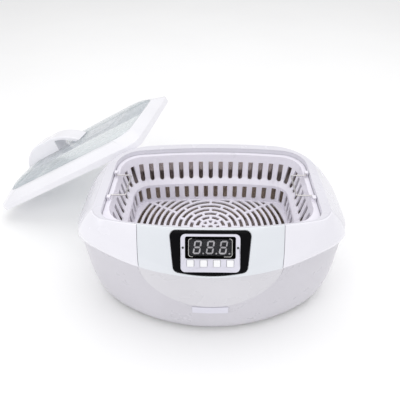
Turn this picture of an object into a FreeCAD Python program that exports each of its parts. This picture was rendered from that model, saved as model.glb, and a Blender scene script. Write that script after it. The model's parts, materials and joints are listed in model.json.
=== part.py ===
import FreeCAD, Part
import math
import os
import re
import Sketcher
from FreeCAD import Placement, Rotation, Vector

# Desktop ultrasonic cleaner: bowl-shaped housing with a rim and a front visor, stainless tank,
# slotted plastic basket with two wire bails, digital control panel, and a lid taken off and
# leaning on the rear left corner of the rim.
# Frame: +X right, +Y towards the back, +Z up. The origin lies on the table under the tank's centre.

SIZES = {
    # housing
    "body_height": 158.0, "seam_height": 114.0, "foot_height": 6.0,
    "rim_width": 326.0, "rim_front": 104.0, "rim_rear": 96.0,
    "foot_inset": 20.0, "bowl_power": 6.2, "front_taper": 0.5, "rear_taper": 0.7,
    "crown_side_run": 33.0, "crown_side_power": 1.2, "crown_front_run": 28.0, "crown_rear_roll": 11.0,
    "shell_wall": 2.8, "plate_thickness": 3.0, "seam_gap": 0.5, "skin_gap": 0.3,
    "front_radius": 220.0, "crown_front_radius": 520.0, "rear_radius": 700.0,
    "front_corner": 62.0, "crown_front_corner": 22.0, "rear_corner": 55.0,
    # opening in the rim
    "opening_length": 240.0, "opening_depth": 150.0, "opening_front_corner": 18.0,
    "opening_rear_corner": 32.0, "lip_wall": 2.5, "lip_depth": 7.5,
    # visor, centre panel and chin
    "visor_proud": 2.2, "visor_tip": 50.0, "panel_half_width": 77.0,
    "chin_half_width": 79.0, "chin_drop": 55.0, "chin_thickness": 1.6, "chin_proud": 0.6,
    "nameplate_length": 42.0, "nameplate_width": 12.0, "nameplate_thickness": 0.8,
    # control panel
    "bezel_top_width": 85.0, "bezel_bottom_width": 77.0, "bezel_height": 44.2, "bezel_bulge": 4.0,
    "bezel_up": 4.0,
    "bezel_corner": 6.0, "bezel_proud": 0.7, "frame_length": 61.5, "frame_width": 40.0,
    "frame_up": 2.6, "window_over_frame": 5.9, "buttons_under_frame": 10.5, "frame_corner": 5.0,
    "frame_thickness": 3.0, "frame_proud": 1.4, "window_length": 52.0,
    "window_width": 23.2, "window_corner": 2.0, "window_thickness": 1.5, "window_ledge": 2.0,
    "digit_height": 14.6, "digit_pitch": 13.5, "digit_slant": 9.0, "segment_width": 2.0,
    "button_size": 7.2, "button_pitch": 13.7, "button_length": 7.4, "button_travel": 0.8,
    "button_clearance": 0.3, "led_radius": 1.1, "board_depth": 9.0, "board_thickness": 1.6,
    # tank and what hangs under it
    "tank_inset": 2.0, "tank_height": 84.0, "tank_corner": 30.0,
    "tank_sheet": 0.8, "tank_bottom_radius": 10.0, "flange_reach": 1.8, "gasket_thickness": 1.0,
    "transducer_spacing": 124.0, "transducer_radius": 22.0, "front_mass_height": 14.0,
    "piezo_radius": 19.0, "piezo_thickness": 5.0, "electrode_thickness": 0.6,
    "back_mass_height": 14.0, "bolt_radius": 4.0,
    # basket
    "basket_wall": 2.0, "basket_clearance": 0.8, "basket_depth": 66.0, "upper_wall_depth": 28.0,
    "ledge_drop": 9.0, "ledge_width": 6.5, "upper_draft": 7.0, "lower_draft": 1.5,
    "flange_gap": 0.6, "ear_half": 2.0, "slot_pitch": 13.5, "slot_width": 5.9,
    "ring_pitch": 7.83, "ring_slot": 4.4, "spoke_width": 3.4,
    "bail_wire": 1.8, "bail_reach": 19.0, "bail_span": 42.0, "bail_shift": 0.0, "bail_fit": 0.08,
    # lid
    "lid_length": 284.0, "lid_width": 192.0, "lid_depth": 9.0, "lid_corner": 20.0,
    "lid_slope_rise": 11.0, "lid_wall": 2.6, "lid_edge_round": 1.6, "lid_window_length": 248.0,
    "lid_window_width": 150.0, "lid_window_corner": 22.0, "lid_window_rise": 11.0,
    "lid_glass": 2.0, "window_fit": 0.15, "dish_x": 4.0, "dish_radius": 20.0, "dish_depth": 7.0,
    "handle_left": 112.0, "handle_solid_end": 30.0, "handle_right": 17.0, "handle_width": 30.0,
    "handle_height": 33.0, "handle_roof": 5.5, "handle_round": 2.5,
    "lid_turn": -4.5, "lid_roll": -6.3,
    "lid_rest_in": 62.1, "lid_rest_back": 14.9, "rest_gap": 0.3, "table_gap": 0.3,
    # base, inlet and cooling fan
    "foot_radius": 9.0, "foot_spread_x": 105.0, "foot_spread_y": 48.0, "ledge_reach": 8.0, "fan_size": 50.0,
    "fan_depth": 15.0, "fan_clearance": 1.0, "inlet_width": 27.0, "inlet_height": 20.0,
    "inlet_depth": 19.0, "inlet_x": 62.0, "inlet_z": 52.0,
}

doc = FreeCAD.newDocument("ultrasonic_cleaner")
sheet = doc.addObject("Spreadsheet::Sheet", "Sizes")
for row, (alias, number) in enumerate(SIZES.items(), start=1):
    sheet.set(f"A{row}", alias)
    sheet.set(f"B{row}", str(number))
    sheet.setAlias(f"B{row}", alias)
doc.recompute()


class SheetValues:
    """The sheet's cells as plain numbers, by alias."""

    def __getattr__(self, alias):
        return float(sheet.get(alias))


S = SheetValues()
ALIAS_WORD = re.compile(r"\b(" + "|".join(sorted(SIZES, key=len, reverse=True)) + r")\b")
UP = Vector(0, 0, 1)
nodes = {}


def formula(text):
    """A formula in aliases, as the expression engine wants it."""
    return ALIAS_WORD.sub(r"Sizes.\1", str(text))


def value(text):
    """The number that a formula gives now."""
    result = sheet.evalExpression(formula(text))
    return float(getattr(result, "Value", result))


def bind(item, **formulas):
    for name, text in formulas.items():
        item.setExpression(name, formula(text))
    return item


def put(item, x=0.0, y=0.0, z=0.0, rotation=Rotation()):
    item.Placement = Placement(Vector(x, y, z), rotation)
    return item


def node(label, item):
    """Registers a finished sub-part under its file name."""
    item.Label = label
    nodes[label] = item
    return item


# ---------------------------------------------------------------- PartDesign helpers

def plane_of(body, role):
    return next(plane for plane in body.Origin.OriginFeatures if plane.Role == role)


def new_body(label, x=0.0, y=0.0, z=0.0, rotation=Rotation()):
    body = doc.addObject("PartDesign::Body", label)
    put(body, x, y, z, rotation)
    return node(label, body)


def rounded_sketch(body, width, depth, radius, level="0", x=0.0, y=0.0):
    """A rounded rectangle centred on x, y in the body's XY plane, raised to level."""
    sketch = body.newObject("Sketcher::SketchObject", body.Name + "_outline")
    sketch.AttachmentSupport = [(plane_of(body, "XY_Plane"), "")]
    sketch.MapMode = "FlatFace"
    sketch.AttachmentOffset = Placement(Vector(x, y, 0), Rotation())
    sketch.setExpression("AttachmentOffset.Base.z", formula(level))
    r = value(radius)
    hx, hy = value(width) / 2, value(depth) / 2
    corners = [(hx - r, r - hy), (hx - r, hy - r), (r - hx, hy - r), (r - hx, r - hy)]
    ends = [((r - hx, -hy), (hx - r, -hy)), ((hx, r - hy), (hx, hy - r)),
            ((hx - r, hy), (r - hx, hy)), ((-hx, hy - r), (-hx, r - hy))]
    for start, end in ends:
        sketch.addGeometry(Part.LineSegment(Vector(*start, 0), Vector(*end, 0)), False)
    for turn, centre in enumerate(corners):
        circle = Part.Circle(Vector(*centre, 0), UP, r)
        begin = (turn - 1) * math.pi / 2
        sketch.addGeometry(Part.ArcOfCircle(circle, begin, begin + math.pi / 2), False)
    for side in range(4):
        sketch.addConstraint(Sketcher.Constraint("Tangent", side, 2, side + 4, 1))
        sketch.addConstraint(Sketcher.Constraint("Tangent", side + 4, 2, (side + 1) % 4, 1))
        straight = "Horizontal" if side % 2 == 0 else "Vertical"
        sketch.addConstraint(Sketcher.Constraint(straight, side))
    for arc in (5, 6, 7):
        sketch.addConstraint(Sketcher.Constraint("Equal", 4, arc))
    sketch.addConstraint(Sketcher.Constraint("Symmetric", 4, 3, 6, 3, -1, 1))
    sizes = [("DistanceX", (3, 1, 1, 1), 2 * hx, width), ("DistanceY", (0, 1, 2, 1), 2 * hy, depth)]
    for kind, points, number, text in sizes:
        index = sketch.addConstraint(Sketcher.Constraint(kind, *points, number))
        sketch.setExpression(f"Constraints[{index}]", formula(text))
    index = sketch.addConstraint(Sketcher.Constraint("Radius", 4, r))
    sketch.setExpression(f"Constraints[{index}]", formula(radius))
    return sketch


def circle_sketch(body, radius, level="0", x=0.0, y=0.0):
    sketch = body.newObject("Sketcher::SketchObject", body.Name + "_circle")
    sketch.AttachmentSupport = [(plane_of(body, "XY_Plane"), "")]
    sketch.MapMode = "FlatFace"
    sketch.AttachmentOffset = Placement(Vector(x, y, 0), Rotation())
    sketch.setExpression("AttachmentOffset.Base.z", formula(level))
    sketch.addGeometry(Part.Circle(Vector(), UP, value(radius)), False)
    sketch.addConstraint(Sketcher.Constraint("Coincident", 0, 3, -1, 1))
    index = sketch.addConstraint(Sketcher.Constraint("Radius", 0, value(radius)))
    sketch.setExpression(f"Constraints[{index}]", formula(radius))
    return sketch


def pad(body, sketch, length):
    feature = body.newObject("PartDesign::Pad", body.Name + "_pad")
    feature.Profile = sketch
    bind(feature, Length=length)
    return feature


pockets = []


def pocket(body, sketch, length, upward=False):
    """Cuts from the sketch down, or up where upward is set."""
    feature = body.newObject("PartDesign::Pocket", body.Name + "_pocket")
    feature.Profile = sketch
    feature.Reversed = upward
    bind(feature, Length=length)
    pockets.append(feature)
    return feature


def fillet_at(body, feature, radius, height, within=0.01):
    """Rounds the edges of the feature that lie flat at a height of the body's own frame."""
    doc.recompute()
    names = []
    for index, edge in enumerate(feature.Shape.Edges, start=1):
        box = edge.BoundBox
        if abs(box.ZMin - height) < within and abs(box.ZMax - height) < within:
            names.append(f"Edge{index}")
    rounding = body.newObject("PartDesign::Fillet", body.Name + "_fillet")
    rounding.Base = (feature, names)
    bind(rounding, Radius=radius)
    return rounding


# ---------------------------------------------------------------- Part helpers

def cylinder(radius, height, x=0.0, y=0.0, z=0.0, rotation=Rotation()):
    item = doc.addObject("Part::Cylinder", "cylinder")
    bind(item, Radius=radius, Height=height)
    return put(item, x, y, z, rotation)


def box(length, width, height, x=0.0, y=0.0, z=0.0, rotation=Rotation()):
    """A box centred on x and y, standing on z, in the rotated frame."""
    item = doc.addObject("Part::Box", "box")
    bind(item, Length=length, Width=width, Height=height)
    corner = rotation.multVec(Vector(-value(length) / 2, -value(width) / 2, 0))
    return put(item, x + corner.x, y + corner.y, z + corner.z, rotation)


def group(items):
    """Separate solids kept as one object."""
    item = doc.addObject("Part::Compound", "group")
    item.Links = list(items)
    return item


def fused(items):
    item = doc.addObject("Part::MultiFuse", "fused")
    item.Shapes = list(items)
    return item


def cut(base, tool):
    item = doc.addObject("Part::Cut", "cut")
    item.Base = base
    item.Tool = tool
    return item


def shaped(label, shape, placement=None):
    """A sub-part whose shape comes from the surface functions below."""
    item = doc.addObject("Part::Feature", label)
    item.Shape = shape
    if placement is not None:
        item.Placement = placement
    return node(label, item)


# ---------------------------------------------------------------- housing surfaces

def arc(start, middle, end):
    return Part.Arc(start, middle, end).toShape()


def corner_arc(centre, radius, start, end):
    middle = (start - centre).normalize() + (end - centre).normalize()
    return arc(start, centre + middle.normalize() * radius, end)


def outline(z, half_width, front, front_radius, front_corner, rear, rear_radius, rear_corner):
    """A closed plan outline: bowed front and rear, straight sides, rounded corners."""
    points = {}
    for end, side in (("front", -1), ("rear", 1)):
        reach, bow, corner = ((front, front_radius, front_corner) if side < 0
                              else (rear, rear_radius, rear_corner))
        hub = Vector(0, side * (reach - bow), z)
        inner_x = half_width - corner
        inner_y = hub.y + side * math.sqrt((bow - corner) ** 2 - inner_x ** 2)
        centre = Vector(inner_x, inner_y, z)
        points[end] = (centre, Vector(half_width, inner_y, z),
                       hub + (centre - hub) * (bow / (bow - corner)), Vector(0, side * reach, z), corner)

    def mirrored(point):
        return Vector(-point.x, point.y, point.z)

    front_centre, front_side, front_end, front_middle, front_r = points["front"]
    rear_centre, rear_side, rear_end, rear_middle, rear_r = points["rear"]
    edges = [
        arc(mirrored(front_end), front_middle, front_end),
        corner_arc(front_centre, front_r, front_end, front_side),
        Part.LineSegment(front_side, rear_side).toShape(),
        corner_arc(rear_centre, rear_r, rear_side, rear_end),
        arc(rear_end, rear_middle, mirrored(rear_end)),
        corner_arc(mirrored(rear_centre), rear_r, mirrored(rear_end), mirrored(rear_side)),
        Part.LineSegment(mirrored(rear_side), mirrored(front_side)).toShape(),
        corner_arc(mirrored(front_centre), front_r, mirrored(front_side), mirrored(front_end)),
    ]
    return Part.Wire(edges)


def bowl_outline(z, offset=0.0):
    """The lower housing's outline at a height: it shrinks towards the foot."""
    inset = S.foot_inset * (1 - z / S.seam_height) ** S.bowl_power
    return outline(z, S.rim_width / 2 - inset + offset,
                   S.rim_front - S.front_taper * inset + offset, S.front_radius + offset,
                   S.front_corner + inset / 2 + offset,
                   S.rim_rear - S.rear_taper * inset + offset, S.rear_radius + offset,
                   S.rear_corner - inset / 10 + offset)


def cap_outline(share, z, offset=0.0):
    """The rim's outline at a share of its height: its sides and front slope in, its rear rolls over."""
    roll = share ** 5
    slope = share ** 1.25
    side_run = S.crown_side_run * share ** S.crown_side_power
    front_radius = S.front_radius + (S.crown_front_radius - S.front_radius) * share
    front_corner = S.front_corner + (S.crown_front_corner - S.front_corner) * share
    return outline(z, S.rim_width / 2 - side_run + offset,
                   S.rim_front - S.crown_front_run * slope + offset, front_radius + offset,
                   front_corner + offset,
                   S.rim_rear - S.crown_rear_roll * roll + offset, S.rear_radius + offset,
                   S.rear_corner + offset)


def bowl_solid(offset=0.0, bottom=None, steps=7):
    bottom = S.foot_height if bottom is None else bottom
    heights = [bottom + (S.seam_height - bottom) * step / steps for step in range(steps + 1)]
    return Part.makeLoft([bowl_outline(z, offset) for z in heights], True, False)


def cap_solid(offset=0.0, drop=0.0):
    """The rim as a solid, from the seam up to the crown less drop."""
    shares = (0.0, 0.25, 0.5, 0.7, 0.84, 0.94, 1.0)
    rise = S.body_height - drop - S.seam_height
    return Part.makeLoft([cap_outline(share, S.seam_height + rise * share, offset)
                          for share in shares], True, False)


def prism(wire, bottom, top):
    """A wire drawn at any height, stretched from bottom to top."""
    face = Part.Face(wire)
    face.translate(Vector(0, 0, bottom - wire.BoundBox.ZMin))
    return face.extrude(Vector(0, 0, top - bottom))


def opening_outline(offset=0.0):
    return outline(0, S.opening_length / 2 + offset, S.opening_depth / 2 + offset,
                   S.crown_front_radius + offset, S.opening_front_corner + offset,
                   S.opening_depth / 2 + offset, S.rear_radius + offset,
                   S.opening_rear_corner + offset)


def liner_outline(inset, corner, z=0.0):
    """The tank's outline, bowed like the opening above it, drawn in by inset."""
    half_y = S.opening_depth / 2 - S.tank_inset - inset
    return outline(z, S.opening_length / 2 - S.tank_inset - inset, half_y,
                   S.crown_front_radius - inset, corner, half_y, S.rear_radius - inset, corner)


def block(x0, x1, y0, y1, z0, z1):
    return Part.makeBox(x1 - x0, y1 - y0, z1 - z0, Vector(x0, y0, z0))


def rounded_wire(half_x, half_y, radius, z=0.0):
    x, y, r = half_x, half_y, radius
    edges = []
    corners = [(x - r, r - y), (x - r, y - r), (r - x, y - r), (r - x, r - y)]
    for turn, (cx, cy) in enumerate(corners):
        begin = (turn - 1) * math.pi / 2
        marks = [Vector(cx + r * math.cos(begin + share * math.pi / 2),
                        cy + r * math.sin(begin + share * math.pi / 2), z) for share in (0, 0.5, 1)]
        if edges:
            edges.append(Part.LineSegment(edges[-1].Vertexes[-1].Point, marks[0]).toShape())
        edges.append(arc(*marks))
    edges.append(Part.LineSegment(edges[-1].Vertexes[-1].Point, edges[0].Vertexes[0].Point).toShape())
    return Part.Wire(edges)


# The control panel's own frame: its origin on the centre panel's face, local Y up the slope,
# local Z outwards.
CAP_RISE = S.body_height - S.seam_height
PANEL_ANGLE = math.degrees(math.atan2(CAP_RISE, S.crown_front_run + 2.0))
PANEL_TURN = Rotation(Vector(1, 0, 0), PANEL_ANGLE)
PANEL_SHARE = 0.5
PANEL_POINT = Vector(0, S.crown_front_run * PANEL_SHARE ** 1.25 - S.rim_front - S.visor_proud,
                     S.seam_height + CAP_RISE * PANEL_SHARE)
PANEL_OUT = PANEL_TURN.multVec(UP)
FRAME_UP = S.frame_up
WINDOW_UP = FRAME_UP + S.window_over_frame
BUTTONS_UP = FRAME_UP - S.buttons_under_frame


def on_panel(x, up, out):
    """A point of the control panel, right, up the slope and out of it."""
    return PANEL_POINT + PANEL_TURN.multVec(Vector(x, up, out))


def panel_place(x, up, out):
    return Placement(on_panel(x, up, out), PANEL_TURN)


def panel_prism(wire, inner, outer):
    """A wire drawn in the panel's frame, stretched along its normal."""
    solid = prism(wire, inner, outer)
    solid.Placement = Placement(PANEL_POINT, PANEL_TURN)
    return solid


# ---------------------------------------------------------------- housing

def make_top_cover():
    shell = cap_solid().cut(cap_solid(-S.shell_wall, S.shell_wall))
    lip_bottom = S.body_height - S.lip_depth
    ring = prism(opening_outline(S.lip_wall), lip_bottom, S.body_height - 1.0)
    cover = shell.fuse(ring.common(cap_solid(-0.5)))
    cover = cover.cut(prism(opening_outline(), S.seam_height, S.body_height + 5.0))
    window = rounded_wire(S.frame_length / 2 + 1.5, S.frame_width / 2 + 1.5, S.frame_corner)
    window.translate(Vector(0, FRAME_UP, 0))
    cover = cover.cut(panel_prism(window, -14.0, 10.0))
    return shaped("top_cover", cover.removeSplitter())


def make_visor():
    band = cap_solid(S.visor_proud).cut(cap_solid(S.skin_gap))
    reach = S.rim_front + 20.0
    gap = S.seam_gap
    for label, side in (("visor_left", -1), ("visor_right", 1)):
        inner = side * (S.panel_half_width + gap)
        outer = side * S.rim_width
        space = block(min(inner, outer), max(inner, outer), -reach, -S.visor_tip,
                      S.seam_height, S.body_height + 5.0)
        shaped(label, band.common(space))
    middle = block(-S.panel_half_width, S.panel_half_width, -reach, -S.visor_tip,
                   S.seam_height, S.body_height + 5.0)
    panel = band.common(middle).cut(bezel_prism(S.seam_gap))
    shaped("centre_panel", panel)


def bezel_prism(clearance=0.0):
    top, bottom = S.bezel_top_width / 2 + clearance, S.bezel_bottom_width / 2 + clearance
    high = S.bezel_up + S.bezel_height / 2 + clearance
    low = S.bezel_up - S.bezel_height / 2 - clearance
    corners = [Vector(top, high, 0), Vector(-top, high, 0), Vector(-bottom, low, 0),
               Vector(bottom, low, 0)]
    edges = [Part.LineSegment(corners[0], corners[1]).toShape(),
             Part.LineSegment(corners[1], corners[2]).toShape(),
             arc(corners[2], Vector(0, low - S.bezel_bulge, 0), corners[3]),
             Part.LineSegment(corners[3], corners[0]).toShape()]
    solid = prism(Part.Wire(edges), -8.0, 8.0)
    upright = [edge for edge in solid.Edges if edge.BoundBox.ZLength > 15.0]
    solid = solid.makeFillet(S.bezel_corner + clearance, upright)
    solid.Placement = Placement(PANEL_POINT, PANEL_TURN)
    return solid


def make_bezel():
    slab = cap_solid(S.visor_proud + S.bezel_proud).cut(cap_solid(S.skin_gap))
    bezel = slab.common(bezel_prism())
    hole = rounded_wire(S.frame_length / 2 + 0.1, S.frame_width / 2 + 0.1, S.frame_corner)
    hole.translate(Vector(0, FRAME_UP, 0))
    shaped("display_bezel", bezel.cut(panel_prism(hole, -10.0, 10.0)))


def chin_prism(grow=0.0):
    curve = Part.Ellipse(Vector(), S.chin_half_width + grow, S.chin_drop + grow)
    face = Part.Face(Part.Wire([curve.toShape()]))
    face.Placement = Placement(Vector(0, -S.rim_front - 30.0, S.seam_height), Rotation(Vector(1, 0, 0), 90))
    solid = face.extrude(Vector(0, 80, 0))
    below = block(-S.rim_width, S.rim_width, -S.rim_width, 0, 0, S.seam_height - S.seam_gap + grow)
    return solid.common(below)


def make_base_shell():
    wall = S.shell_wall
    shell = bowl_solid().cut(bowl_solid(-wall, S.foot_height + S.plate_thickness + wall))
    ledge_top = S.foot_height + S.plate_thickness + wall
    shell = shell.cut(prism(bowl_outline(ledge_top, -wall - S.ledge_reach), 0, ledge_top + 5.0))
    plate_space = prism(bowl_outline(S.foot_height, -wall), 0, S.foot_height + S.plate_thickness)
    shell = shell.cut(plate_space)
    for x, y in screw_places():
        shell = shell.cut(Part.makeCylinder(1.55, 30.0, Vector(x, y, 0)))
    recess = bowl_solid(3.0).cut(bowl_solid(S.chin_proud - S.chin_thickness - 0.1))
    shell = shell.cut(recess.common(chin_prism(S.seam_gap)))
    # cooling slots in both flanks
    for index in range(7):
        y = -38.0 + 6.0 * index
        slot = block(-S.rim_width, S.rim_width, y - 1.3, y + 1.3, 84.0, 108.0)
        shell = shell.cut(slot)
    # raised surround and hole of the mains inlet
    half_w, half_h = S.inlet_width / 2, S.inlet_height / 2
    face_y = inlet_face()
    surround = block(S.inlet_x - half_w - 4, S.inlet_x + half_w + 4, face_y - 9.0, face_y,
                     S.inlet_z - half_h - 4, S.inlet_z + half_h + 4)
    surround = surround.cut(bowl_solid(-wall - 2.0, S.foot_height + 1.0))
    shell = shell.fuse(surround)
    hole = block(S.inlet_x - half_w - 0.1, S.inlet_x + half_w + 0.1, face_y - 40.0, face_y + 5.0,
                 S.inlet_z - half_h - 0.1, S.inlet_z + half_h + 0.1)
    return shaped("base_shell", shell.cut(hole).removeSplitter())


def inlet_face():
    """Where the inlet's outer face stands: just proud of the wall at the surround's top."""
    top = S.inlet_z + S.inlet_height / 2 + 4
    inset = S.foot_inset * (1 - top / S.seam_height) ** S.bowl_power
    return S.rim_rear - S.rear_taper * inset + 0.5


def make_chin():
    slab = bowl_solid(S.chin_proud).cut(bowl_solid(S.chin_proud - S.chin_thickness))
    chin = slab.common(chin_prism())
    shaped("chin_panel", chin)


def make_nameplate():
    z = S.seam_height - S.chin_drop - S.nameplate_width / 2 - 1.0
    inset = S.foot_inset * (1 - z / S.seam_height) ** S.bowl_power
    front = S.rim_front - S.front_taper * inset
    slab = bowl_solid(S.nameplate_thickness).cut(bowl_solid(0.15))
    space = block(-S.nameplate_length / 2, S.nameplate_length / 2, -front - 20, -front + 20,
                  z - S.nameplate_width / 2, z + S.nameplate_width / 2)
    shaped("nameplate", slab.common(space))


def make_base():
    plate = prism(bowl_outline(S.foot_height, -S.shell_wall - S.seam_gap), S.foot_height,
                  S.foot_height + S.plate_thickness)
    for ring in range(1, 4):
        radius = 7.5 * ring
        ring_slot = Part.makeCylinder(radius + 2.0, 20).cut(Part.makeCylinder(radius - 2.0, 20))
        for turn in (45, 135):
            spoke = Part.makeBox(80, 4, 20, Vector(-40, -2, 0))
            spoke.rotate(Vector(), UP, turn)
            ring_slot = ring_slot.cut(spoke)
        plate = plate.cut(ring_slot)
    for x, y in foot_places():
        plate = plate.cut(Part.makeCylinder(2.0, 20, Vector(x, y, 0)))
    for x, y in screw_places():
        plate = plate.cut(Part.makeCylinder(1.6, 20, Vector(x, y, 0)))
    shaped("base_plate", plate)
    feet = []
    for x, y in foot_places():
        foot = doc.addObject("Part::Cone", "foot")
        bind(foot, Radius1="foot_radius - 1", Radius2="foot_radius", Height="foot_height")
        feet.append(put(foot, x, y, 0))
    node("rubber_feet", group(feet))
    screws = []
    for x, y in screw_places():
        shank = cylinder("1.5", "plate_thickness + 4", x, y, S.foot_height)
        head = cylinder("3.2", "1.6", x, y, S.foot_height - 1.6)
        screws.append(fused([shank, head]))
    node("base_screws", group(screws))


def foot_places():
    return [(sx * S.foot_spread_x, sy * S.foot_spread_y - 4.0) for sx in (-1, 1) for sy in (-1, 1)]


def screw_places():
    """On the shell's ledge, in its four corners."""
    half = bowl_outline(S.foot_height).BoundBox
    x = half.XMax - S.shell_wall - S.ledge_reach / 2
    return [(sx * x, y) for sx in (-1, 1) for y in (-26.0, 18.0)]


# ---------------------------------------------------------------- tank and transducers

def make_tank():
    """Drawn stainless tank with an outward flange; its flange lies under the rim's lip."""
    top, sheet = tank_flange_top(), S.tank_sheet

    def drawn(inset, bottom, radius, high):
        solid = prism(liner_outline(inset, S.tank_corner - inset), bottom, high)
        low = [edge for edge in solid.Edges if edge.BoundBox.ZMax < bottom + 0.1]
        return solid.makeFillet(radius, low)

    outside = drawn(-sheet, tank_floor() - sheet, S.tank_bottom_radius, top)
    inside = drawn(0.0, tank_floor(), S.tank_bottom_radius - sheet, top + 5.0)
    brim = prism(opening_outline(S.flange_reach), top - sheet, top)
    shaped("tank", outside.fuse(brim).cut(inside).removeSplitter())


def tank_flange_top():
    return S.body_height - S.lip_depth - S.gasket_thickness


def tank_floor():
    return tank_flange_top() - S.tank_height


def make_gasket():
    """Between the tank's flange and the lip of the rim."""
    bottom = tank_flange_top()
    ring = prism(opening_outline(S.flange_reach), bottom, bottom + S.gasket_thickness)
    ring = ring.cut(prism(opening_outline(0.0), bottom - 1, bottom + 5))
    shaped("tank_gasket", ring.cut(nodes["top_cover"].Shape))


def make_transducers():
    """Two bolted Langevin transducers, bonded under the tank's floor."""
    top = tank_floor() - S.tank_sheet
    places = [-S.transducer_spacing / 2, S.transducer_spacing / 2]
    masses, rings, electrodes, backs, bolts = [], [], [], [], []
    for x in places:
        z = top - S.front_mass_height
        cone = doc.addObject("Part::Cone", "front_mass")
        bind(cone, Radius1="piezo_radius", Radius2="transducer_radius", Height="front_mass_height")
        masses.append(put(cone, x, 0, z))
        for layer in range(2):
            z -= S.electrode_thickness
            electrodes.append(ring_at(x, z, "piezo_radius", "electrode_thickness"))
            z -= S.piezo_thickness
            rings.append(ring_at(x, z, "piezo_radius", "piezo_thickness"))
        z -= S.electrode_thickness
        electrodes.append(ring_at(x, z, "piezo_radius", "electrode_thickness"))
        z -= S.back_mass_height
        backs.append(ring_at(x, z, "piezo_radius", "back_mass_height"))
        shank = cylinder("bolt_radius", f"{top - S.front_mass_height - z}", x, 0, z)
        head = doc.addObject("Part::Prism", "bolt_head")
        bind(head, Circumradius="bolt_radius * 1.8", Height="5")
        put(head, x, 0, z - 5)
        bolts.append(fused([shank, head]))
    node("transducer_front_masses", group(masses))
    node("piezo_rings", group(rings))
    node("electrode_rings", group(electrodes))
    node("transducer_back_masses", group(backs))
    node("transducer_bolts", group(bolts))


def ring_at(x, z, radius, height):
    outer = cylinder(radius, height, x, 0, z)
    inner = cylinder("bolt_radius + 0.05", f"{height} + 2", x, 0, z - 1)
    return cut(outer, inner)


def make_heater():
    """Silicone heater mat between the transducers, and the thermostat on the tank's end wall."""
    top = tank_floor() - S.tank_sheet
    mat = new_body("heater_pad", z=top - 2.0)
    pad(mat, rounded_sketch(mat, "transducer_spacing - 2 * transducer_radius - 6",
                            "opening_depth - 2 * tank_inset - 40", "6"), "2")
    wall = S.opening_length / 2 - S.tank_inset + S.tank_sheet
    turn = Rotation(Vector(0, 1, 0), 90)
    z = tank_floor() + 20.0
    disc = cylinder("8", "6", wall, 0, z, turn)
    tab = box("1", "4", "8", wall + 7.0, 0, z - 4.0)
    plug = cylinder("4", "2", wall + 6.0, 0, z, turn)
    node("thermostat", fused([disc, plug, tab]))


# ---------------------------------------------------------------- control panel

def make_control_frame():
    frame = new_body("control_frame", rotation=PANEL_TURN)
    frame.Placement = panel_place(0, FRAME_UP, S.frame_proud - S.frame_thickness)
    pad(frame, rounded_sketch(frame, "frame_length", "frame_width", "frame_corner"), "frame_thickness")
    window_y = WINDOW_UP - FRAME_UP
    seat = rounded_sketch(frame, "window_length + 0.2", "window_width + 0.2", "window_corner + 0.1",
                          "frame_thickness", 0, window_y)
    pocket(frame, seat, "window_thickness + 0.2")
    through = rounded_sketch(frame, "window_length - 2 * window_ledge", "window_width - 2 * window_ledge",
                             "window_corner", "frame_thickness", 0, window_y)
    pocket(frame, through, "frame_thickness + 1")
    for x in button_xs():
        hole = rounded_sketch(frame, "button_size + 2 * button_clearance",
                              "button_size + 2 * button_clearance", "1", "frame_thickness",
                              x, BUTTONS_UP - FRAME_UP)
        pocket(frame, hole, "frame_thickness + 1")
    for x in led_xs():
        hole = circle_sketch(frame, "led_radius + 0.05", "frame_thickness", x, window_y)
        pocket(frame, hole, "frame_thickness + 1")


def button_xs():
    return [(index - 1.5) * S.button_pitch for index in range(4)]


def led_xs():
    middle = (S.window_length + S.frame_length) / 4
    return [-middle, middle]


def make_window():
    window = new_body("display_window")
    window.Placement = panel_place(0, WINDOW_UP, S.frame_proud - 0.2 - S.window_thickness)
    pad(window, rounded_sketch(window, "window_length", "window_width", "window_corner"),
        "window_thickness")


def make_buttons():
    names = ("button_on", "button_off", "button_set", "button_heat")
    for label, x in zip(names, button_xs()):
        button = new_body(label)
        button.Placement = panel_place(x, BUTTONS_UP, S.frame_proud + 1.0 - S.button_length)
        block_pad = pad(button, rounded_sketch(button, "button_size", "button_size", "0.8"),
                        "button_length")
        fillet_at(button, block_pad, "0.6", S.button_length)


def digit_segments():
    """Seven slanted segments and a point, in a box of 0..1 by 0..1, as centre, size and turn."""
    high, wide = S.digit_height, S.digit_height * 0.56
    bar = wide - S.segment_width * 0.9
    post = high / 2 - S.segment_width * 0.7
    flats = [(0, high / 2 - S.segment_width / 2), (0, 0), (0, S.segment_width / 2 - high / 2)]
    sides = [(sx * (wide / 2 - S.segment_width / 2), sy * high / 4) for sx in (-1, 1) for sy in (-1, 1)]
    return ([(x, y, bar, S.segment_width) for x, y in flats]
            + [(x, y, S.segment_width, post) for x, y in sides])


def segment_face(x, y, wide, high, shift):
    """A bar with pointed ends, slanted with the digit."""
    hx, hy = wide / 2, high / 2
    tip = min(hx, hy)
    if wide > high:
        points = [(-hx, 0), (tip - hx, -hy), (hx - tip, -hy), (hx, 0), (hx - tip, hy), (tip - hx, hy)]
    else:
        points = [(0, -hy), (hx, tip - hy), (hx, hy - tip), (0, hy), (-hx, hy - tip), (-hx, tip - hy)]
    lean = math.tan(math.radians(S.digit_slant))
    placed = [Vector(shift + x + px + lean * (y + py), y + py, 0) for px, py in points]
    return Part.Face(Part.makePolygon(placed + placed[:1]))


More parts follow.
